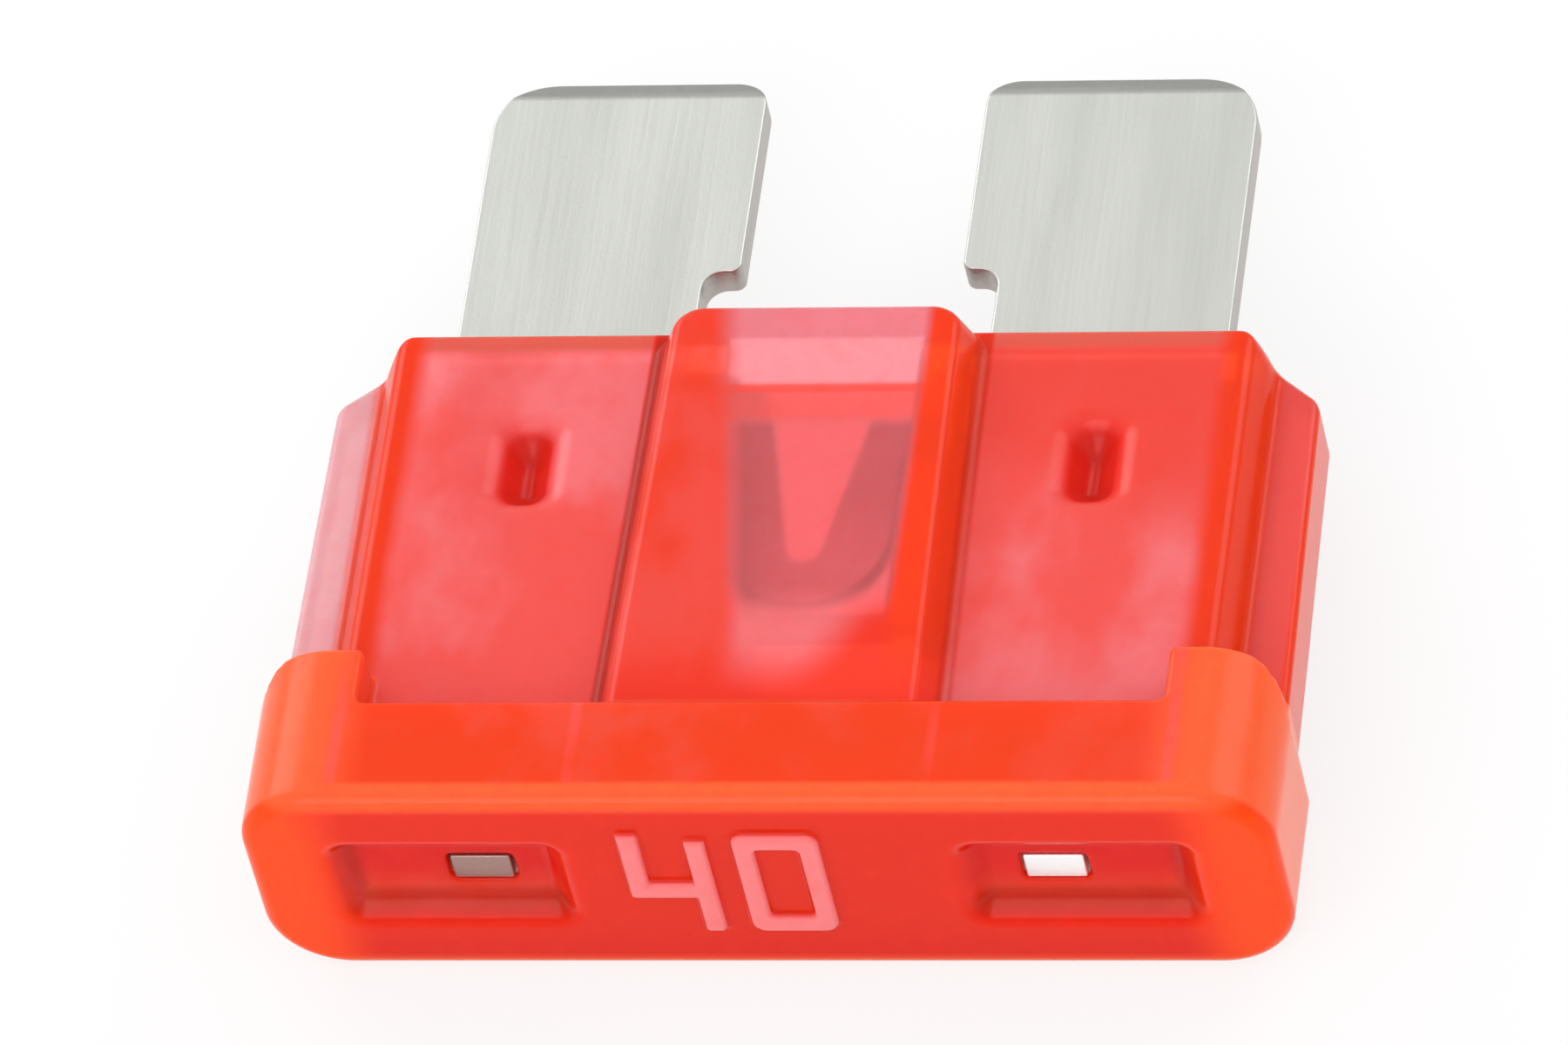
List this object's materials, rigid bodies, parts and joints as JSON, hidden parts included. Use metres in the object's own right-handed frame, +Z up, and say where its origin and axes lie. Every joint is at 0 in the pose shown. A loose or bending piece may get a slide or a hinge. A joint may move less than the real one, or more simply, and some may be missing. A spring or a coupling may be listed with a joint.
{
  "type": "blade fuse",
  "caption": "Plug-in blade fuse: a translucent moulded housing with an eared head and a raised rating number, around a stamped metal element with flat blades and a thin link.",
  "frame": {"origin": "middle of the bounding box, at the underside: the fuse lies on the broad face of its head", "axes": "+X across the head, +Y from the crown to the blade tips, +Z up through the thickness"},
  "size_m": [0.019, 0.0186, 0.0051],
  "materials": {
    "plastic": "translucent orange-red moulding, lightly glossy",
    "metal": "matt grey zinc alloy with fine lengthwise streaks"
  },
  "bodies": {
    "root": {"housing": "plastic", "fuse_element": "metal"}
  },
  "joints": []
}
